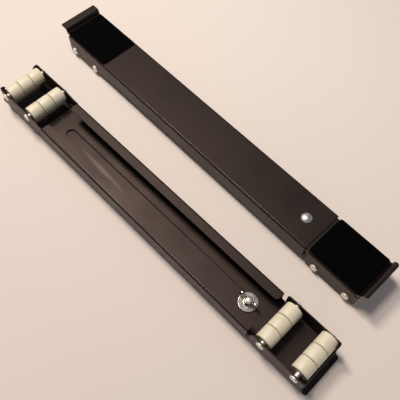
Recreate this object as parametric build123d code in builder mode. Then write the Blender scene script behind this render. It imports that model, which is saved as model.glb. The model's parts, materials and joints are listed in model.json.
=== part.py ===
from build123d import *
from math import cos, radians, sin
import os

# A pair of telescopic appliance roller rails, one standing on its wheels and one turned over.
# Every piece of a rail is modelled closed and upright in the rail's own frame: X runs along the rail
# from its first axle, Y across it, and Z up from the floor. All sizes are millimetres.

# Pressed steel sheet of both channels
sheet = 1.2
bend = 1.8                  # radius of a bend at the middle of the sheet
rail_width = 52.3
web_top = 29.2              # upper face of the outer channel
channel_foot = 7.0          # lower face of the return flanges
pod_foot = 3.5              # lower rim of the walls beside the wheels
flange_width = 11.0
flange_corner = 4.0

# Places along the outer channel
axle_spacing = 40.2
outer_end = 378.4
flange_setback = 25.9       # second axle to the start of the return flanges
rim_run = 6.0               # second axle to the end of the deep rim
rim_slope = 12.0            # length over which the rim rises to the flanges

# Inner channel
slide_gap = 0.3             # between sheets that slide on each other
side_play = 0.5             # between the inner channel's sides and the outer walls
slide_depth = 8.0           # height of the inner channel's low sides
tail_gap = 1.7              # between the second wheel and the inner channel's tail
closed_gap = 4.6            # strip of inner channel that shows when the rail is closed
shoulder_to_axle = 12.2
pod_corner = 4.0

# Wheels and axles
wheel_diameter = 18.4
wheels_per_axle = 3
wheel_gap = 0.5
wheel_side_gap = 2.9        # between the outer wheels and the walls
wheel_shift = (0.0, 0.0, 0.0, -2.4)     # how far the wheels of each axle have slid along it
wheel_edge = 1.1
axle_diameter = 5.0
axle_gap = 0.05             # between an axle and the wall it is riveted through
running_gap = 0.08          # between an axle and a wheel's bore
rivet_head = 7.4
rivet_height = 1.7
rivet_land = 0.4            # straight edge of a domed head

# Ends of the roller pods
ear_gap = 0.6               # between a wheel and the ear beyond it
ear_width = 6.5
ear_notch = 4.5             # opening between the lip and an ear
ear_corner = 5.2
lip_rise = 6.2              # crest of the lip above the outer channel
lip_overhang = 4.2          # crest of the lip beyond the middle of the ears
lip_slope = 75.0
lip_crest = 2.0             # radius of the crest at the middle of the sheet
lip_inset = 1.4
lip_corner = 3.0
lip_curl = 50.0             # degrees that the free edge beyond the crest curls down
outer_flap = 7.0            # flat stretch between the crest and this curl
inner_flap = 1.0

# Pads
pad_thickness = 1.6
pad_inset = 2.0
pad_end_gap = 0.4
pad_past_axle = 19.4        # second axle to the end of the outer pad
pad_corner = 3.0
pad_edge = 0.5

# Clamp
bolt_setback = 20.8         # bolt back from the outer channel's end
bolt_diameter = 5.0
bolt_head = 11.6
bolt_height = 3.0
bolt_land = 0.5
bolt_stickout = 1.6
bolt_point = 0.6
neck_gap = 0.1
neck_length = 2.0
slot_play = 3.2             # on each side of the bolt
slot_margin = 23.7          # inner channel's tail to the slot
washer_diameter = 20.0
washer_thickness = 1.2
washer_play = 0.2
nut_gap = 0.1
nut_diameter = 10.0
nut_nose = 8.2
nut_height = 5.6
thread_gap = 0.08
wing_span = 24.2
wing_drop = 11.4
wing_lobe = 3.7
wing_root = 1.6
wing_thickness = 2.2
wing_edge = 0.6

# How the pair lies
rail_spacing = 108.3        # between the first axles, across the rails
turned_shift = 17.7         # turned rail ahead of the upright one
turned_yaw = 1.35           # degrees out of parallel

# Sizes that follow
wall_line = rail_width / 2 - sheet / 2
wheel_radius = wheel_diameter / 2
inside_width = rail_width - 2 * sheet
wheel_row = inside_width - 2 * wheel_side_gap
wheel_width = (wheel_row - (wheels_per_axle - 1) * wheel_gap) / wheels_per_axle
wheel_pitch = wheel_width + wheel_gap
inner_top = web_top - sheet - slide_gap
slide_width = inside_width - 2 * side_play
ear_line = wheel_radius + ear_gap + sheet / 2
pod_reach = ear_line - 2 * bend
crest_reach = ear_line + lip_overhang
crest_top = web_top + lip_rise
axle_2 = axle_spacing
flange_start = axle_2 + flange_setback
rim_end = axle_2 + rim_run
tail = axle_2 + wheel_radius + tail_gap
shoulder = outer_end + closed_gap
axle_3 = shoulder + shoulder_to_axle
axle_4 = axle_3 + axle_spacing
axle_places = (0.0, axle_2, axle_3, axle_4)
pad_top = web_top + pad_thickness
pad_width = rail_width - 2 * pad_inset
bolt_place = outer_end - bolt_setback
slot_width = bolt_diameter + 2 * slot_play
slot_start = tail + slot_margin
slot_end = bolt_place + slot_width / 2
washer_top = inner_top - sheet - slide_gap
nut_top = washer_top - washer_thickness - nut_gap
bolt_end = nut_top - nut_height - bolt_stickout


def section(width, top, foot, flange=None):
    """Middle line of a pressed section, seen along the rail: walls, web and any return flanges."""
    wall = width / 2 - sheet / 2
    web = top - sheet / 2
    right = [(wall, web), (wall, foot)]
    if flange:
        right = [(wall, web), (wall, foot + sheet / 2), (width / 2 - flange, foot + sheet / 2)]
    return [(-y, z) for y, z in reversed(right)] + right


def pressed(points, start, end):
    """A length of pressed section with rounded bends, from start to end along the rail."""
    with BuildPart() as length:
        with BuildSketch(Plane.YZ.offset(start)):
            with BuildLine():
                FilletPolyline(*points, radius=bend)
            trace(line_width=sheet)
        extrude(amount=end - start)
    return length.part


def slope_length(top):
    """Straight stretch of the lip on a web whose upper face is at top, between root bend and crest."""
    curved_rise = (bend + lip_crest) * (1 - cos(radians(lip_slope)))
    return (crest_top - top - curved_rise) / sin(radians(lip_slope))


def lip_foot(top):
    """Distance from a pod's last axle out to where its lip begins to turn up."""
    curved_run = (bend + lip_crest) * sin(radians(lip_slope))
    return crest_reach - curved_run - slope_length(top) * cos(radians(lip_slope))


outer_foot = lip_foot(web_top)
inner_foot = lip_foot(inner_top)


def pod_end(top, foot, flap):
    """Upturned lip and bent ears at the end of a roller pod, with X outward from the pod's last axle."""
    with BuildPart() as end:
        with BuildSketch(Plane.XZ):
            with BuildLine():
                neck = Line((pod_reach, top - sheet / 2), (foot, top - sheet / 2))
                root = JernArc(neck @ 1, neck % 1, bend, lip_slope)
                slope = PolarLine(root @ 1, slope_length(top), lip_slope)
                crest = JernArc(slope @ 1, slope % 1, lip_crest, -lip_slope)
                level = PolarLine(crest @ 1, flap, 0)
                JernArc(level @ 1, level % 1, lip_crest, -lip_curl)
            trace(line_width=sheet)
        extrude(amount=rail_width / 2 - lip_inset, both=True)
        # Rounded outer corners
        lip_reach = end.part.bounding_box().max.X
        with BuildSketch(Plane.XY):
            with Locations((lip_reach / 2, 0)):
                RectangleRounded(lip_reach, rail_width - 2 * lip_inset, lip_corner)
        extrude(amount=crest_top, mode=Mode.INTERSECT)
        with BuildSketch(Plane.XY.offset(pod_foot)):
            with BuildLine():
                FilletPolyline(
                    (pod_reach, wall_line),
                    (ear_line, wall_line),
                    (ear_line, wall_line - ear_width),
                    radius=bend,
                )
            trace(line_width=sheet)
            mirror(about=Plane.XZ)
        extrude(amount=top - ear_notch - pod_foot)
        ear_feet = end.edges().filter_by(Axis.X).group_by(Axis.Z)[0]
        fillet(ear_feet.sort_by(lambda edge: abs(edge.center().Y))[:2], radius=ear_corner)
    return end.part


with BuildPart() as outer_channel:
    add(pressed(section(rail_width, web_top, channel_foot, flange_width), flange_start, outer_end))
    flange_corners = outer_channel.edges().filter_by(Axis.Z).group_by(SortBy.LENGTH)[0]
    fillet(flange_corners, radius=flange_corner)
    add(pressed(section(rail_width, web_top, pod_foot), -pod_reach, flange_start))
    # The deep rim beside the wheels rises to the level of the flanges
    with BuildSketch(Plane.XZ):
        with BuildLine():
            Polyline(
                (rim_end, pod_foot),
                (rim_end + rim_slope, channel_foot),
                (flange_start, channel_foot),
                (flange_start, pod_foot),
                close=True,
            )
        make_face()
    extrude(amount=rail_width, both=True, mode=Mode.SUBTRACT)
    add(pod_end(web_top, outer_foot, outer_flap).moved(Rot(0, 0, 180)))
    with BuildSketch(Plane.XZ):
        with Locations((0, wheel_radius), (axle_2, wheel_radius)):
            Circle(axle_diameter / 2 + axle_gap)
    extrude(amount=rail_width, both=True, mode=Mode.SUBTRACT)
    with BuildSketch(Plane.XY.offset(web_top)):
        with Locations((bolt_place, 0)):
            Rectangle(bolt_diameter + 2 * neck_gap, bolt_diameter + 2 * neck_gap)
    extrude(amount=-sheet, mode=Mode.SUBTRACT)

with BuildPart() as inner_channel:
    add(pressed(section(rail_width, inner_top, pod_foot), shoulder, axle_4 + pod_reach))
    pod_corners = inner_channel.edges().filter_by(Axis.Y).group_by(Axis.X)[0].group_by(Axis.Z)[0]
    fillet(pod_corners, radius=pod_corner)
    add(pressed(section(slide_width, inner_top, inner_top - slide_depth), tail, shoulder))
    add(pod_end(inner_top, inner_foot, inner_flap).moved(Pos(axle_4, 0, 0)))
    with BuildSketch(Plane.XZ):
        with Locations((axle_3, wheel_radius), (axle_4, wheel_radius)):
            Circle(axle_diameter / 2 + axle_gap)
    extrude(amount=rail_width, both=True, mode=Mode.SUBTRACT)
    with BuildSketch(Plane.XY.offset(inner_top)):
        with Locations(((slot_start + slot_end) / 2, 0)):
            SlotOverall(slot_end - slot_start, slot_width)
    extrude(amount=-sheet, mode=Mode.SUBTRACT)


def pad(start, end, base):
    """Foam pad with rounded corners, glued on a channel's web."""
    with BuildPart() as slab:
        with BuildSketch(Plane((start / 2 + end / 2, 0, base))):
            RectangleRounded(end - start, pad_width, pad_corner)
        extrude(amount=pad_top - base)
        fillet(slab.faces().sort_by(Axis.Z)[-1].edges(), radius=pad_edge)
    return slab.part


outer_pad = pad(pad_end_gap - outer_foot, axle_2 + pad_past_axle, web_top)
inner_pad = pad(shoulder + pad_end_gap, axle_4 + inner_foot - pad_end_gap, inner_top)

# Rivet across the pod, with a domed head against each wall
with BuildPart() as axle:
    with BuildSketch():
        with BuildLine():
            dome = TangentArc(
                (0, rail_width / 2 + rivet_height),
                (rivet_head / 2, rail_width / 2 + rivet_land),
                tangent=(1, 0),
            )
            Polyline(
                dome @ 1,
                (rivet_head / 2, rail_width / 2),
                (axle_diameter / 2, rail_width / 2),
                (axle_diameter / 2, 0),
                (0, 0),
                dome @ 0,
            )
        make_face()
    revolve(axis=Axis.Y)
    mirror(about=Plane.XZ)

with BuildPart() as wheel:
    with BuildSketch(Plane.XZ):
        Circle(wheel_radius)
        Circle(axle_diameter / 2 + running_gap, mode=Mode.SUBTRACT)
    extrude(amount=wheel_width / 2, both=True)
    fillet(wheel.edges().filter_by(GeomType.CIRCLE).sort_by(SortBy.RADIUS)[-2:], radius=wheel_edge)

# Carriage bolt with its head on the outer channel and its square neck in the web
with BuildPart() as bolt:
    with BuildSketch(Plane.XZ):
        with BuildLine():
            dome = TangentArc((0, web_top + bolt_height), (bolt_head / 2, web_top + bolt_land), tangent=(1, 0))
            Polyline(
                dome @ 1,
                (bolt_head / 2, web_top),
                (bolt_diameter / 2, web_top),
                (bolt_diameter / 2, bolt_end + bolt_point),
                (bolt_diameter / 2 - bolt_point, bolt_end),
                (0, bolt_end),
                dome @ 0,
            )
        make_face()
    revolve(axis=Axis.Z)
    with BuildSketch(Plane.XY.offset(web_top)):
        Rectangle(bolt_diameter, bolt_diameter)
    extrude(amount=-neck_length)

with BuildPart() as washer:
    with BuildSketch(Plane.XY.offset(washer_top)):
        Circle(washer_diameter / 2)
        Circle(bolt_diameter / 2 + washer_play, mode=Mode.SUBTRACT)
    extrude(amount=-washer_thickness)

# Wing nut with its wings along the rail, hanging below its body
with BuildPart() as wing_nut:
    with BuildSketch(Plane.XZ):
        with Locations((wing_span / 2 - wing_lobe, nut_top - wing_drop + wing_lobe)):
            Circle(wing_lobe)
        with Locations((nut_nose / 2 - wing_root / 2, nut_top - nut_height / 2)):
            Circle(wing_root)
        make_hull()
        mirror(about=Plane.YZ)
    extrude(amount=wing_thickness / 2, both=True)
    fillet(wing_nut.edges(), radius=wing_edge)
    with BuildSketch(Plane.XZ):
        with BuildLine():
            Polyline(
                (0, nut_top),
                (nut_diameter / 2, nut_top),
                (nut_nose / 2, nut_top - nut_height),
                (0, nut_top - nut_height),
                close=True,
            )
        make_face()
    revolve(axis=Axis.Z)
    with BuildSketch(Plane.XY.offset(nut_top)):
        Circle(bolt_diameter / 2 + thread_gap)
    extrude(amount=-wing_drop, mode=Mode.SUBTRACT)

# One rail's pieces in its own frame
pieces = {
    "outer_channel": outer_channel.part,
    "inner_channel": inner_channel.part,
    "outer_pad": outer_pad,
    "inner_pad": inner_pad,
}
for number, (place, shift) in enumerate(zip(axle_places, wheel_shift), 1):
    pieces[f"axle_{number}"] = axle.part.moved(Pos(place, 0, wheel_radius))
    for row in range(wheels_per_axle):
        across = (row - (wheels_per_axle - 1) / 2) * wheel_pitch + shift
        pieces[f"wheel_{number}{chr(ord('a') + row)}"] = wheel.part.moved(Pos(place, across, wheel_radius))
for name, clamp in {"bolt": bolt, "washer": washer, "wing_nut": wing_nut}.items():
    pieces[name] = clamp.part.moved(Pos(bolt_place, 0, 0))

# Both rails on the floor, with the origin under the middle of the pair
seats = {
    "upright": Pos(0, 0, 0),
    "turned": Pos(turned_shift, -rail_spacing, crest_top) * Rot(0, 0, turned_yaw) * Rot(180, 0, 0),
}
pair = {
    f"{rail}_{name}": piece.moved(seat) for rail, seat in seats.items() for name, piece in pieces.items()
}
box = Compound(list(pair.values())).bounding_box()
centring = Pos(-box.center().X, -box.center().Y, -box.min.Z)

os.makedirs("parts", exist_ok=True)
for name, piece in pair.items():
    node = piece.moved(centring)
    node.label = name
    export_step(node, f"parts/{name}.step")
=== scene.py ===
import json
import math

import bmesh
import bpy
from mathutils import Matrix, Vector

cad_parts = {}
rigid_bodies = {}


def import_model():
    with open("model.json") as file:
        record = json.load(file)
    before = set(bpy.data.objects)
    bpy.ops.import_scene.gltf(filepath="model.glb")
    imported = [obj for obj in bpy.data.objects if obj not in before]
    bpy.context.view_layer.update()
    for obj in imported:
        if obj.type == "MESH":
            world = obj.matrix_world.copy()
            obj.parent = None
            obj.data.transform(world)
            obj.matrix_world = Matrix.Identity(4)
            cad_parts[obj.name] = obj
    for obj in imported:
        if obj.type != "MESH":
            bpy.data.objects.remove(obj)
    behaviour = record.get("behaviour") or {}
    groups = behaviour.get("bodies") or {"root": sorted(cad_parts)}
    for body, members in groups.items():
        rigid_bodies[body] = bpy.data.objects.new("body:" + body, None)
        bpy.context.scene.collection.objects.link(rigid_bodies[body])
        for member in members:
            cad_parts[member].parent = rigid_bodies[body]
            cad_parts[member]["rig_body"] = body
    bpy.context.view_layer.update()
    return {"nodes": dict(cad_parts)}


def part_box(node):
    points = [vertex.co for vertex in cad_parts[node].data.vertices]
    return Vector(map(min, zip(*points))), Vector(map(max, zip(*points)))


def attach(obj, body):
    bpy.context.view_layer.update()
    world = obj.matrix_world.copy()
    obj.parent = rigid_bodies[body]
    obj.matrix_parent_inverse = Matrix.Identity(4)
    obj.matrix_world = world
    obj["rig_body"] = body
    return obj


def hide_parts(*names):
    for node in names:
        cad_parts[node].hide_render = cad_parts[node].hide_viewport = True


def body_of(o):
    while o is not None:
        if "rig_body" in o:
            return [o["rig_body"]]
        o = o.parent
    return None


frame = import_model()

mm = 0.001


# Rails. A pair of loose telescopic roller rails: one stands on its wheels and one is turned over. Pieces
# are modelled once, in a rail's own frame: X along the rail from its first axle, Y across it and Z up from
# the floor that its wheels roll on. A rail's seat takes that frame to where the rail lies.
def middle(node):
    """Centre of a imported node's box."""
    low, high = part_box(node)
    return (low + high) / 2


wheel_radius = (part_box("upright_wheel_1b")[1].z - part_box("upright_wheel_1b")[0].z) / 2
seats = {}
for rail, up in (("upright", 1), ("turned", -1)):
    start = middle(f"{rail}_axle_1")
    along = middle(f"{rail}_axle_4") - start
    yaw = Matrix.Rotation(math.atan2(along.y, along.x), 4, "Z")
    flip = Matrix.Rotation(0 if up > 0 else math.pi, 4, "X")
    seats[rail] = Matrix.Translation(start - Vector((0, 0, up * wheel_radius))) @ yaw @ flip


def rail_box(name):
    """Lowest corner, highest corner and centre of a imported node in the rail's own frame."""
    low, high = [corner - seats["upright"].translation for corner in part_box(f"upright_{name}")]
    return low, high, (low + high) / 2


# Channels. Both are pressed from 1.2 mm steel strip and powder coated a dark brown-black before assembly.
# The outer one has return flanges; the inner one is a slotted plate with low sides that slides inside it.
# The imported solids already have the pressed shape, so they stay and take the coat.
def linear(code):
    """An sRGB hex colour as linear RGBA."""
    levels = [int(code[i : i + 2], 16) / 255 for i in (0, 2, 4)]
    return [c / 12.92 if c <= 0.04045 else ((c + 0.055) / 1.055) ** 2.4 for c in levels] + [1.0]


def new_material(name):
    """An empty node material: the material, its shader and its object coordinates."""
    made = bpy.data.materials.new(name)
    made.use_nodes = True
    place = made.node_tree.nodes.new("ShaderNodeTexCoord").outputs["Object"]
    return made, made.node_tree.nodes["Principled BSDF"], place


def add_node(material, kind, settings, links):
    """Adds a node to a material or the world. Settings are its properties, colour stops or input values,
    and links are the sockets that feed it."""
    made = material.node_tree.nodes.new(kind)
    for name, value in settings.items():
        if name == "stops":
            for _ in range(len(value) - 2):
                made.color_ramp.elements.new(0.5)
            for stop, (at, colour) in zip(made.color_ramp.elements, value):
                stop.position = at
                stop.color = colour
        elif isinstance(name, str) and hasattr(made, name):
            setattr(made, name, value)
        else:
            made.inputs[name].default_value = value
    for name, socket in links.items():
        material.node_tree.links.new(socket, made.inputs[name])
    return made


def powder_coat(rail):
    """Satin powder coat: a baked plastic skin with soft gloss, fine orange peel and a cloudy brown-black
    colour, under a thin clearer film that shows at a slant. It carries dust and paler streaks in an oval
    beside the slot, and a painted shadow lies dark along one edge of the slot and round its end. Real peel is
    about 1 mm across and dust 0.3 mm; they are drawn at 2.5 and 1.5 mm, because finer would not show."""
    cloud_size = 40 * mm
    peel_size = 2.5 * mm
    fleck_size = 1.5 * mm
    streak_size = (90 * mm, 2 * mm)
    streak_shift = (0, 0.9, 0)  # in streak sizes
    coat, shader, place = new_material(f"satin_powder_coat_{rail}")
    shader.inputs["IOR"].default_value = 1.5
    shader.inputs["Specular IOR Level"].default_value = 0.44
    shader.inputs["Specular Tint"].default_value = linear("ffe1d3")
    shader.inputs["Coat Weight"].default_value = 0.09
    shader.inputs["Coat Roughness"].default_value = 0.1
    shader.inputs["Coat Tint"].default_value = linear("fff0e6")
    seat = seats[rail]
    lengthwise = add_node(
        coat,
        "ShaderNodeMapping",
        {"vector_type": "TEXTURE", "Location": seat.translation, "Rotation": seat.to_euler()},
        {"Vector": place},
    )
    clouds = add_node(
        coat, "ShaderNodeTexNoise", {"Scale": 1 / cloud_size, "Detail": 4.0}, {"Vector": place}
    )
    peel = add_node(
        coat, "ShaderNodeTexNoise", {"Scale": 1 / peel_size, "Detail": 2.0}, {"Vector": place}
    )
    tone = add_node(
        coat,
        "ShaderNodeValToRGB",
        {"stops": [(0.35, linear("0b0705")), (0.65, linear("120c09"))]},
        {"Fac": clouds.outputs["Fac"]},
    )
    gloss = add_node(
        coat,
        "ShaderNodeMapRange",
        {"From Min": 0.3, "From Max": 0.7, "To Min": 0.44, "To Max": 0.53},
        {"Value": clouds.outputs["Fac"]},
    )
    relief = add_node(
        coat, "ShaderNodeBump", {"Strength": 0.2, "Distance": 0.1 * mm}, {"Height": peel.outputs["Fac"]}
    )
    streak_place = add_node(
        coat,
        "ShaderNodeMapping",
        {"Location": streak_shift, "Scale": (1 / streak_size[0], 1 / streak_size[1], 0)},
        {"Vector": lengthwise.outputs["Vector"]},
    )
    streaks = add_node(
        coat,
        "ShaderNodeTexNoise",
        {"Scale": 1.0, "Detail": 3.0},
        {"Vector": streak_place.outputs["Vector"]},
    )
    # Paler streaks lie in a slanting oval on the plate and on the web seen through the slot.
    plate_face = rail_box("washer")[1].z  # the washer's side of the slotted plate
    pale_oval_centre = (145 * mm, 5.0 * mm, plate_face + 1 * mm)
    pale_oval_size = (50 * mm, 4.2 * mm, 1.9 * mm)
    pale_oval_slant = (0, 0, math.radians(3))
    pale_oval_place = add_node(
        coat,
        "ShaderNodeMapping",
        {"vector_type": "TEXTURE", "Location": pale_oval_centre, "Rotation": pale_oval_slant, "Scale": pale_oval_size},
        {"Vector": lengthwise.outputs["Vector"]},
    )
    pale_oval_reach = add_node(
        coat, "ShaderNodeVectorMath", {"operation": "LENGTH"}, {0: pale_oval_place.outputs["Vector"]}
    )
    in_pale_oval = add_node(
        coat,
        "ShaderNodeMapRange",
        {"From Min": 1.0, "From Max": 0.4},
        {"Value": pale_oval_reach.outputs["Value"]},
    )
    # The coat is made paler in streaks inside the oval.
    pale_streaks = add_node(
        coat,
        "ShaderNodeMapRange",
        {"From Min": 0.35, "From Max": 0.7},
        {"Value": streaks.outputs["Fac"], "To Max": in_pale_oval.outputs["Result"]},
    )
    flecks = add_node(
        coat, "ShaderNodeTexNoise", {"Scale": 1 / fleck_size, "Detail": 1.0}, {"Vector": place}
    )
    dust = add_node(
        coat,
        "ShaderNodeMapRange",
        {"From Min": 0.66, "From Max": 0.76, "To Max": 0.12},
        {"Value": flecks.outputs["Fac"]},
    )
    marks = add_node(
        coat,
        "ShaderNodeMath",
        {"operation": "MAXIMUM"},
        {0: pale_streaks.outputs["Result"], 1: dust.outputs["Result"]},
    )
    # The pale streaks and the dust flecks are mixed into the coat's colour.
    marked = add_node(
        coat,
        "ShaderNodeMix",
        {"data_type": "RGBA", 7: linear("766c64")},
        {0: marks.outputs["Value"], 6: tone.outputs["Color"]},
    )
    # The slot's edge is a straight line that turns round the slot's end, so a painted shadow along it is
    # drawn by its distance from the slot's middle line and by its height, on one side of the slot only. The
    # painted shadow is matt, and thins along the rail.
    # Size and reach of the painted shadow in the slot.
    slot_half = 5.7 * mm
    slot_turn = 80.5 * mm
    slot_shade_end = 340 * mm
    unshaded_beyond = 3 * mm
    shaded_up_to = 1 * mm
    slot_shade_size = (0.8 * mm, 1.0 * mm, 1)
    slot_shade_centre = (slot_half + 0.15 * mm, plate_face + 0.7 * mm, 0)
    axes = add_node(coat, "ShaderNodeSeparateXYZ", {}, {"Vector": lengthwise.outputs["Vector"]})
    # How far a place lies before the slot's turn, as a negative number of metres, and 0 past it.
    before_turn = add_node(
        coat,
        "ShaderNodeMapRange",
        {"From Min": slot_turn - 1, "From Max": slot_turn, "To Min": -1.0, "To Max": 0.0},
        {"Value": axes.outputs["X"]},
    )
    from_line = add_node(
        coat, "ShaderNodeCombineXYZ", {}, {"X": before_turn.outputs["Result"], "Y": axes.outputs["Y"]}
    )
    spread = add_node(
        coat, "ShaderNodeVectorMath", {"operation": "LENGTH"}, {0: from_line.outputs["Vector"]}
    )
    edge = add_node(
        coat, "ShaderNodeCombineXYZ", {}, {"X": spread.outputs["Value"], "Y": axes.outputs["Z"]}
    )
    edge_place = add_node(
        coat,
        "ShaderNodeMapping",
        {"vector_type": "TEXTURE", "Location": slot_shade_centre, "Scale": slot_shade_size},
        {"Vector": edge.outputs["Vector"]},
    )
    edge_reach = add_node(
        coat, "ShaderNodeVectorMath", {"operation": "LENGTH"}, {0: edge_place.outputs["Vector"]}
    )
    thinning = add_node(
        coat,
        "ShaderNodeMapRange",
        {"From Min": slot_turn, "From Max": slot_shade_end, "To Min": 1.0, "To Max": 0.0},
        {"Value": axes.outputs["X"]},
    )
    shaded_side = add_node(
        coat,
        "ShaderNodeMapRange",
        {"From Min": unshaded_beyond, "From Max": shaded_up_to},
        {"Value": axes.outputs["Y"], "To Max": thinning.outputs["Result"]},
    )
    # Painted shadow: the coat is darkened to near black in a narrow band at the slot's far edge and round its
    # end.
    slot_shade = add_node(
        coat,
        "ShaderNodeMapRange",
        {"From Min": 1.0, "From Max": 0.85},
        {"Value": edge_reach.outputs["Value"], "To Max": shaded_side.outputs["Result"]},
    )
    # The painted shadow's near-black colour is mixed into the coat's colour.
    slot_shaded_tone = add_node(
        coat,
        "ShaderNodeMix",
        {"data_type": "RGBA", 7: linear("040302")},
        {0: slot_shade.outputs["Result"], 6: marked.outputs[2]},
    )
    dulled = add_node(
        coat,
        "ShaderNodeMix",
        {"data_type": "FLOAT", 3: 1.0},
        {0: slot_shade.outputs["Result"], 2: gloss.outputs["Result"]},
    )
    coat.node_tree.links.new(slot_shaded_tone.outputs[2], shader.inputs["Base Color"])
    coat.node_tree.links.new(dulled.outputs[0], shader.inputs["Roughness"])
    coat.node_tree.links.new(relief.outputs["Normal"], shader.inputs["Normal"])
    return coat


for rail in seats:
    coat = powder_coat(rail)
    for channel in ("outer_channel", "inner_channel"):
        for slot in frame["nodes"][f"{rail}_{channel}"].material_slots:
            slot.material = coat


# Axles. Zinc plated steel rivets through both walls of a roller pod, with a round head pressed at each end.
# The press leaves the heads dull, nearly flat with a rounded edge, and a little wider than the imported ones.
def zinc_plate(name, darkest, palest, smoothest, roughest):
    """Zinc plate: a metal skin with a fine crystal grain that makes its tone and gloss uneven. Real grain
    is finer than 0.1 mm; it is drawn at 3 mm, because finer would not show."""
    grain_size = 3 * mm
    plate, shader, place = new_material(name)
    shader.inputs["Metallic"].default_value = 1.0
    grain = add_node(
        plate, "ShaderNodeTexNoise", {"Scale": 1 / grain_size, "Detail": 3.0}, {"Vector": place}
    )
    tone = add_node(
        plate,
        "ShaderNodeValToRGB",
        {"stops": [(0.3, linear(darkest)), (0.7, linear(palest))]},
        {"Fac": grain.outputs["Fac"]},
    )
    gloss = add_node(
        plate,
        "ShaderNodeMapRange",
        {"To Min": smoothest, "To Max": roughest},
        {"Value": grain.outputs["Fac"]},
    )
    plate.node_tree.links.new(tone.outputs["Color"], shader.inputs["Base Color"])
    plate.node_tree.links.new(gloss.outputs["Result"], shader.inputs["Roughness"])
    return plate


def pick(kind, test):
    """In edit mode, selects the faces or edges that pass a test, and no others."""
    bpy.ops.mesh.select_mode(type=kind)
    bpy.ops.mesh.select_all(action="DESELECT")
    shape = bmesh.from_edit_mesh(bpy.context.object.data)
    for part in shape.faces if kind == "FACE" else shape.edges:
        part.select_set(test(part))
    bmesh.update_edit_mesh(bpy.context.object.data)


def begin_edit():
    """Settles a new primitive's place and size in its mesh, opens edit mode and returns the object."""
    bpy.ops.object.transform_apply(location=True, rotation=True, scale=True)
    bpy.ops.object.mode_set(mode="EDIT")
    return bpy.context.object


def is_cap(face):
    """Whether a face is the end of a round piece, which has more corners than any other face."""
    most_other_corners = 8
    return len(face.verts) > most_other_corners


def rim_of_cap(edge):
    """Whether an edge goes round such an end."""
    return any(is_cap(face) for face in edge.link_faces)


def end_edit():
    """Closes edit mode with all faces outward and round surfaces smooth."""
    crease_angle = math.radians(35)
    bpy.ops.mesh.select_all(action="SELECT")
    bpy.ops.mesh.normals_make_consistent(inside=False)
    bpy.ops.object.mode_set(mode="OBJECT")
    bpy.ops.object.shade_smooth_by_angle(angle=crease_angle)


def stand_in(model, piece_name, node, at):
    """Puts a copy of a model, with its own mesh, at a place in a rail's frame, for the node it replaces."""
    piece = model.copy()
    piece.data = model.data.copy()
    bpy.context.scene.collection.objects.link(piece)
    piece.name = piece_name
    piece.data.transform(seats[node.split("_")[0]] @ Matrix.Translation(at))
    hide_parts(node)
    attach(piece, body_of(frame["nodes"][node])[0])
    return piece


def join(first, *others):
    """Joins objects into the first of them."""
    bpy.ops.object.select_all(action="DESELECT")
    for one in (first, *others):
        one.select_set(True)
    bpy.context.view_layer.objects.active = first
    bpy.ops.object.join()


rivet_height = 1.7 * mm
rivet_edge = 1.0 * mm
rivet_spread = 0.6 * mm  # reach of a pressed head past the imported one
axle_radius = 2.5 * mm
low, high = rail_box("axle_1")[:2]
rivet_radius = (high.x - low.x) / 2 + rivet_spread
grip = high.y - low.y - 2 * rivet_height
bpy.ops.object.select_all(action="DESELECT")
bpy.ops.mesh.primitive_cylinder_add(
    vertices=32, radius=axle_radius, depth=grip, rotation=(math.pi / 2, 0, 0)
)
axle = begin_edit()
end_edit()
heads = []
for side in (-1, 1):
    head_middle = side * (grip + rivet_height) / 2
    bpy.ops.mesh.primitive_cylinder_add(
        vertices=48,
        radius=rivet_radius,
        depth=rivet_height,
        location=(0, head_middle, 0),
        rotation=(math.pi / 2, 0, 0),
    )
    heads.append(begin_edit())
    pick("EDGE", lambda edge: rim_of_cap(edge) and side * (edge.verts[0].co.y - head_middle) > 0)
    bpy.ops.mesh.bevel(offset=rivet_edge, segments=5)
    end_edit()
join(axle, *heads)
axle.data.materials.append(zinc_plate("dull_zinc_plate", "ece6dc", "fbf6ee", 0.52, 0.66))
for rail in seats:
    for number in (1, 2, 3, 4):
        at = rail_box(f"axle_{number}")[2]
        stand_in(axle, f"{rail}_axle_rivet_{number}", f"{rail}_axle_{number}", at)
bpy.data.objects.remove(axle)

# Wheels. Plain rollers moulded in cream nylon, three on each axle, each turning by itself.
# The tread's edges are rounded, and each end has a shallow recess round the hub so that wheels rub less.
tread_round = 1.1 * mm
rim_width = 1.6 * mm
recess_depth = 0.4 * mm
recess_wall = 0.4 * mm
hub_radius = 4.2 * mm
bore_radius = 2.58 * mm
low, high = rail_box("wheel_1b")[:2]
bpy.ops.object.select_all(action="DESELECT")
bpy.ops.mesh.primitive_cylinder_add(
    vertices=64, radius=wheel_radius, depth=high.y - low.y, rotation=(math.pi / 2, 0, 0)
)
roller = begin_edit()
pick("EDGE", rim_of_cap)
bpy.ops.mesh.bevel(offset=tread_round, segments=4)
pick("FACE", is_cap)
recess_width = wheel_radius - tread_round - rim_width - 2 * recess_wall - hub_radius
bpy.ops.mesh.inset(thickness=rim_width)
bpy.ops.mesh.inset(thickness=recess_wall, depth=-recess_depth)
bpy.ops.mesh.inset(thickness=recess_width)
bpy.ops.mesh.inset(thickness=recess_wall, depth=recess_depth)
bpy.ops.mesh.inset(thickness=hub_radius - bore_radius)
bpy.ops.mesh.bridge_edge_loops()
end_edit()
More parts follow.
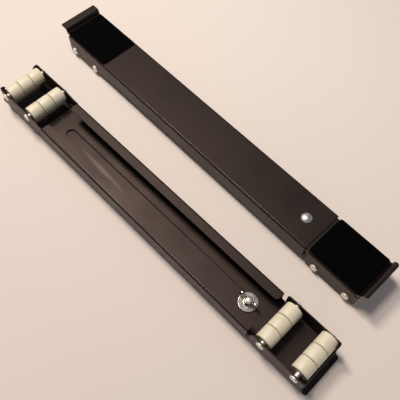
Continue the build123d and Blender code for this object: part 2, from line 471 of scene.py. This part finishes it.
# Moulded nylon: slightly see-through, so its shade is soft, with a waxy gloss and faint yellowing.
blotch_size = 12 * mm
nylon, shader, place = new_material("cream_nylon")
shader.inputs["IOR"].default_value = 1.53
shader.inputs["Subsurface Weight"].default_value = 0.3
shader.inputs["Subsurface Radius"].default_value = (4 * mm, 3 * mm, 2 * mm)
blotch = add_node(
    nylon, "ShaderNodeTexNoise", {"Scale": 1 / blotch_size, "Detail": 4.0}, {"Vector": place}
)
tone = add_node(
    nylon,
    "ShaderNodeValToRGB",
    {"stops": [(0.3, linear("eaddbf")), (0.7, linear("f2e8cd"))]},
    {"Fac": blotch.outputs["Fac"]},
)
gloss = add_node(
    nylon, "ShaderNodeMapRange", {"To Min": 0.38, "To Max": 0.52}, {"Value": blotch.outputs["Fac"]}
)
nylon.node_tree.links.new(tone.outputs["Color"], shader.inputs["Base Color"])
nylon.node_tree.links.new(gloss.outputs["Result"], shader.inputs["Roughness"])
roller.data.materials.append(nylon)
for rail in seats:
    for number in (1, 2, 3, 4):
        for row in "abc":
            at = rail_box(f"wheel_{number}{row}")[2]
            stand_in(roller, f"{rail}_roller_{number}{row}", f"{rail}_wheel_{number}{row}", at)
bpy.data.objects.remove(roller)

# Bolt. A cold-formed carriage bolt, zinc plated and satin: a domed head on the outer channel, a square neck
# in its web and a rolled thread that ends below the wing nut.
head_height = 3.0 * mm
head_land = 0.5 * mm
head_edge = 0.2 * mm
neck_length = 2.0 * mm
neck_edge = 0.4 * mm
thread_pitch = 0.8 * mm
thread_depth = 0.42 * mm
thread_radius = 2.5 * mm
bolt_point = 0.5 * mm
low, high, centre = rail_box("bolt")
bolt_place = Vector((centre.x, 0, 0))
web_top = high.z - head_height
head_radius = (high.x - low.x) / 2
dome_height = head_height - head_land
dome_radius = (head_radius**2 + dome_height**2) / (2 * dome_height)
bpy.ops.object.select_all(action="DESELECT")
bpy.ops.mesh.primitive_uv_sphere_add(
    segments=48, ring_count=48, radius=dome_radius, location=(0, 0, high.z - dome_radius)
)
bolt = begin_edit()
bpy.ops.mesh.select_all(action="SELECT")
bpy.ops.mesh.bisect(
    plane_co=(0, 0, high.z - dome_height), plane_no=(0, 0, 1), use_fill=True, clear_inner=True
)
pick("FACE", is_cap)
bpy.ops.mesh.extrude_region_move(TRANSFORM_OT_translate={"value": (0, 0, -head_land)})
pick("EDGE", rim_of_cap)
bpy.ops.mesh.bevel(offset=head_edge, segments=2)
end_edit()
bpy.ops.mesh.primitive_cube_add(
    size=1,
    location=(0, 0, web_top - neck_length / 2),
    scale=(2 * thread_radius, 2 * thread_radius, neck_length),
)
neck = begin_edit()
pick("EDGE", lambda edge: abs(edge.verts[0].co.z - edge.verts[1].co.z) > neck_length / 2)
bpy.ops.mesh.bevel(offset=neck_edge, segments=2)
end_edit()
core_radius = thread_radius - thread_depth
bpy.ops.mesh.primitive_cylinder_add(
    vertices=32, radius=core_radius, depth=web_top - low.z, location=(0, 0, (web_top + low.z) / 2)
)
shank = begin_edit()
pick("EDGE", lambda edge: rim_of_cap(edge) and edge.verts[0].co.z < centre.z)
bpy.ops.mesh.bevel(offset=bolt_point, segments=2)
end_edit()
bpy.ops.mesh.primitive_circle_add(vertices=3, radius=thread_depth, rotation=(math.pi / 2, 0, 0))
thread = begin_edit()
bpy.ops.transform.translate(value=(core_radius, 0, low.z + bolt_point))
bpy.ops.object.mode_set(mode="OBJECT")
turns = thread.modifiers.new("turns", "SCREW")
turns.screw_offset = thread_pitch
turns.iterations = int((web_top - neck_length - low.z - bolt_point) / thread_pitch)
turns.steps = 24
turns.render_steps = 24
bpy.ops.object.modifier_apply(modifier="turns")
bpy.ops.object.mode_set(mode="EDIT")
bpy.ops.mesh.select_all(action="SELECT")
bpy.ops.mesh.fill_holes(sides=0)
end_edit()
join(bolt, neck, shank, thread)
bolt.data.materials.append(zinc_plate("satin_zinc_plate", "c4c0bb", "f2f0ec", 0.4, 0.52))
for rail in seats:
    stand_in(bolt, f"{rail}_carriage_bolt", f"{rail}_bolt", bolt_place)
bpy.data.objects.remove(bolt)

# Washer. A wide flat washer stamped from bright plated steel, which bears on the slotted plate. The punch
# leaves its edges slightly rounded.
washer_edge = 0.25 * mm
washer_bore = 2.7 * mm
flat_border = 0.1 * mm  # narrow ring that keeps the face beside a rounded edge flat
low, high, centre = rail_box("washer")
bpy.ops.object.select_all(action="DESELECT")
bpy.ops.mesh.primitive_cylinder_add(
    vertices=96, radius=(high.x - low.x) / 2, depth=high.z - low.z, location=(0, 0, centre.z)
)
washer = begin_edit()
pick("EDGE", rim_of_cap)
bpy.ops.mesh.bevel(offset=washer_edge, segments=2)
pick("FACE", is_cap)
bpy.ops.mesh.inset(thickness=flat_border)
bpy.ops.mesh.inset(thickness=(high.x - low.x) / 2 - washer_edge - flat_border - washer_bore)
bpy.ops.mesh.bridge_edge_loops()
end_edit()
bright_zinc = zinc_plate("bright_zinc_plate", "b4aca2", "e2dcd2", 0.15, 0.31)
washer.data.materials.append(bright_zinc)
for rail in seats:
    stand_in(washer, f"{rail}_flat_washer", f"{rail}_washer", bolt_place)
bpy.data.objects.remove(washer)

# Wing nut. Cold formed and plated: a round body with two upright wings along the rail. Each wing is a thin
# leaf with a thicker rounded rim, and widens towards its tip.
body_height = 5.6 * mm
nose_radius = 4.1 * mm
nut_bore = 2.58 * mm
body_edge = 0.5 * mm
wing_lobe = 3.7 * mm
wing_root = 1.6 * mm
wing_thickness = 2.2 * mm
wing_edge = 0.5 * mm
wing_rim = 0.7 * mm
leaf_depth = 0.5 * mm
low, high = rail_box("wing_nut")[:2]
bpy.ops.object.select_all(action="DESELECT")
bpy.ops.mesh.primitive_cone_add(
    vertices=64,
    radius1=nose_radius,
    radius2=(high.y - low.y) / 2,
    depth=body_height,
    location=(0, 0, high.z - body_height / 2),
)
wing_nut = begin_edit()
pick("EDGE", rim_of_cap)
bpy.ops.mesh.bevel(offset=body_edge, segments=3)
pick("FACE", is_cap)
bpy.ops.mesh.inset(thickness=flat_border)
pick("FACE", lambda face: is_cap(face) and face.normal.z < 0)
bpy.ops.mesh.inset(thickness=nose_radius - body_edge - flat_border - nut_bore)
pick("FACE", lambda face: is_cap(face) and face.normal.z > 0)
bpy.ops.mesh.inset(thickness=(high.y - low.y) / 2 - body_edge - flat_border - nut_bore)
pick("FACE", is_cap)
bpy.ops.mesh.bridge_edge_loops()
end_edit()
wings = []
for side in (-1, 1):
    tip = (side * ((high.x - low.x) / 2 - wing_lobe), 0, low.z + wing_lobe)
    root = (side * (nose_radius - wing_root / 2), 0, high.z - body_height / 2)
    rounds = []
    for radius, place in ((wing_lobe, tip), (wing_root, root)):
        bpy.ops.mesh.primitive_cylinder_add(
            vertices=48, radius=radius, depth=wing_thickness, location=place, rotation=(math.pi / 2, 0, 0)
        )
        rounds.append(bpy.context.object)
    join(*rounds)
    wing = begin_edit()
    bpy.ops.mesh.select_all(action="SELECT")
    bpy.ops.mesh.convex_hull()
    bpy.ops.mesh.select_all(action="SELECT")
    bpy.ops.mesh.dissolve_limited(angle_limit=math.radians(1))
    pick("EDGE", rim_of_cap)
    bpy.ops.mesh.bevel(offset=wing_edge, segments=3)
    pick("FACE", is_cap)
    bpy.ops.mesh.inset(thickness=flat_border)
    bpy.ops.mesh.inset(thickness=wing_rim - flat_border)
    bpy.ops.mesh.inset(thickness=leaf_depth, depth=-leaf_depth)
    end_edit()
    wings.append(wing)
join(wing_nut, *wings)
wing_nut.data.materials.append(bright_zinc)
for rail in seats:
    stand_in(wing_nut, f"{rail}_winged_nut", f"{rail}_wing_nut", bolt_place)
bpy.data.objects.remove(wing_nut)

# Pads. Black foam rubber with closed cells, cut from sheet with rounded corners and glued on each channel's
# web over the wheels. The knife leaves a soft edge, and the top is slightly wavy.
pad_corner = 3.0 * mm
pad_edge = 0.6 * mm
pad_grid = 0.6 * mm
pad_wave = 0.3 * mm
pad_spread = 0.8 * mm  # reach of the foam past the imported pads' sides
pad_lap = {"outer": 0, "inner": 1.6 * mm}  # and past the end that faces the other pad
wave_length = 12 * mm
# Closed-cell foam rubber: almost no gloss, very dark, with tiny cut cells. Real cells are about 0.3 mm;
# they are drawn at 1 mm, because finer would not show.
cell_size = 1 * mm
foam, shader, place = new_material("black_foam_rubber")
cells = add_node(foam, "ShaderNodeTexNoise", {"Scale": 1 / cell_size, "Detail": 3.0}, {"Vector": place})
tone = add_node(
    foam,
    "ShaderNodeValToRGB",
    {"stops": [(0.3, linear("020202")), (0.7, linear("050505"))]},
    {"Fac": cells.outputs["Fac"]},
)
relief = add_node(
    foam, "ShaderNodeBump", {"Strength": 0.4, "Distance": 0.2 * mm}, {"Height": cells.outputs["Fac"]}
)
shader.inputs["Roughness"].default_value = 0.95
shader.inputs["Specular IOR Level"].default_value = 0.05
foam.node_tree.links.new(tone.outputs["Color"], shader.inputs["Base Color"])
foam.node_tree.links.new(relief.outputs["Normal"], shader.inputs["Normal"])
waves = bpy.data.textures.new("foam_waves", "CLOUDS")
waves.noise_scale = wave_length
for channel in ("outer", "inner"):
    low, high = rail_box(f"{channel}_pad")[:2]
    low -= Vector((pad_lap[channel], pad_spread, 0))
    high += Vector((0, pad_spread, 0))
    centre = (low + high) / 2
    bpy.ops.object.select_all(action="DESELECT")
    bpy.ops.mesh.primitive_cube_add(size=1, location=centre, scale=high - low)
    pad = begin_edit()
    pick("EDGE", lambda edge: abs(edge.verts[0].co.z - edge.verts[1].co.z) > (high.z - low.z) / 2)
    bpy.ops.mesh.bevel(offset=pad_corner, segments=8)
    pick("EDGE", lambda edge: all(vert.co.z > centre.z for vert in edge.verts))
    bpy.ops.mesh.bevel(offset=pad_edge, segments=3)
    bpy.ops.object.mode_set(mode="OBJECT")
    sheet = pad.modifiers.new("sheet", "REMESH")
    sheet.mode = "VOXEL"
    sheet.voxel_size = pad_grid
    wave = pad.modifiers.new("wave", "DISPLACE")
    wave.texture = waves
    wave.strength = pad_wave
    wave.mid_level = 1.0
    soft = pad.modifiers.new("soft", "SMOOTH")
    soft.iterations = 3
    for modifier in ("sheet", "wave", "soft"):
        bpy.ops.object.modifier_apply(modifier=modifier)
    bpy.ops.object.shade_smooth()
    pad.data.materials.append(foam)
    for rail in seats:
        name = f"{rail}_{channel}"
        cushion = stand_in(pad, f"{name}_foam_pad", f"{name}_pad", (0, 0, 0))
    bpy.data.objects.remove(pad)

# Floor. A plain pale sheet of matt paper, larger than any view of the rails. Its colour is painted a little
# paler on the upright rail's side: painted light, where the room's light falls brighter.
floor_size = 8.0
darker_at = -0.2
paler_at = 0.25
bpy.ops.object.select_all(action="DESELECT")
bpy.ops.mesh.primitive_plane_add(size=floor_size)
floor = bpy.context.object
floor.name = "floor"
paper, shader, place = new_material("pale_paper")
axes = add_node(paper, "ShaderNodeSeparateXYZ", {}, {"Vector": place})
across = add_node(
    paper,
    "ShaderNodeMapRange",
    {"From Min": darker_at, "From Max": paler_at},
    {"Value": axes.outputs["Y"]},
)
# Painted light: the paper's colour grows paler from the turned rail's side towards the upright rail's side.
tone = add_node(
    paper,
    "ShaderNodeValToRGB",
    {"stops": [(0.0, linear("eedfd4")), (1.0, linear("f8ece0"))]},
    {"Fac": across.outputs["Result"]},
)
paper.node_tree.links.new(tone.outputs["Color"], shader.inputs["Base Color"])
shader.inputs["Roughness"].default_value = 0.9
shader.inputs["Specular IOR Level"].default_value = 0.2
floor.data.materials.append(paper)

# Light. Two warm ceiling panels beyond the rails' first end, small enough that the flanges' and wheels'
# shadows are crisp. The surround is cooler, and palest at the horizon, like a light room with a darker
# ceiling. Each panel has a power, a length and a place; the surround has strengths from horizon to zenith.
warm = "fff6ee"
cool = "ecf1ff"
panels = (
    ("key", 7.4, 0.28, (-0.3, -0.12, 1.4)),
    ("sheen", 11.8, 0.32, (-0.74, 0.06, 1.4)),
)
panel_width = 0.27
surround = ((0.0, 0.5), (0.25, 0.35), (0.45, 0.1), (1.0, 0.26))
for name, power, length, place in panels:
    lamp = bpy.data.lights.new(name, "AREA")
    lamp.shape = "RECTANGLE"
    lamp.size = panel_width
    lamp.size_y = length
    lamp.energy = power
    lamp.color = linear(warm)[:3]
    light = bpy.data.objects.new(name, lamp)
    bpy.context.scene.collection.objects.link(light)
    light.location = place
    light.rotation_euler = (-light.location).to_track_quat("-Z", "Y").to_euler()
world = bpy.data.worlds.new("surround")
bpy.context.scene.world = world
world.use_nodes = True
sky = world.node_tree.nodes["Background"]
sky.inputs["Color"].default_value = linear(cool)
facing = add_node(world, "ShaderNodeTexCoord", {}, {})
height = add_node(world, "ShaderNodeSeparateXYZ", {}, {"Vector": facing.outputs["Generated"]})
glow = add_node(
    world,
    "ShaderNodeValToRGB",
    {"stops": [(at, (strength, strength, strength, 1)) for at, strength in surround]},
    {"Fac": height.outputs["Z"]},
)
world.node_tree.links.new(glow.outputs["Color"], sky.inputs["Strength"])

# Camera. It looks steeply down on the pair from beyond the turned rail, at the ends that slide out.
# Its place and angles were fitted to about 45 points and edges of the rails.
lens = 47.56
from_first_axle = Vector((0.4535, -0.2379, 0.5089))
heading = math.radians(46.75)
tilt = math.radians(62.19)
roll = math.radians(0.15)
camera_data = bpy.data.cameras.new("camera")
camera_data.lens = lens
camera = bpy.data.objects.new("camera", camera_data)
bpy.context.scene.collection.objects.link(camera)
across_floor = math.cos(tilt)
forward = Vector((-math.sin(heading) * across_floor, math.cos(heading) * across_floor, -math.sin(tilt)))
level = Vector((math.cos(heading), math.sin(heading), 0))
over = level.cross(forward)
right = math.cos(roll) * level + math.sin(roll) * over
upward = -math.sin(roll) * level + math.cos(roll) * over
station = seats["upright"].translation + from_first_axle
turned_to_view = Matrix((right, upward, -forward)).transposed().to_4x4()
camera.matrix_world = Matrix.Translation(station) @ turned_to_view
bpy.context.scene.camera = camera
bpy.context.scene.view_settings.view_transform = "Standard"
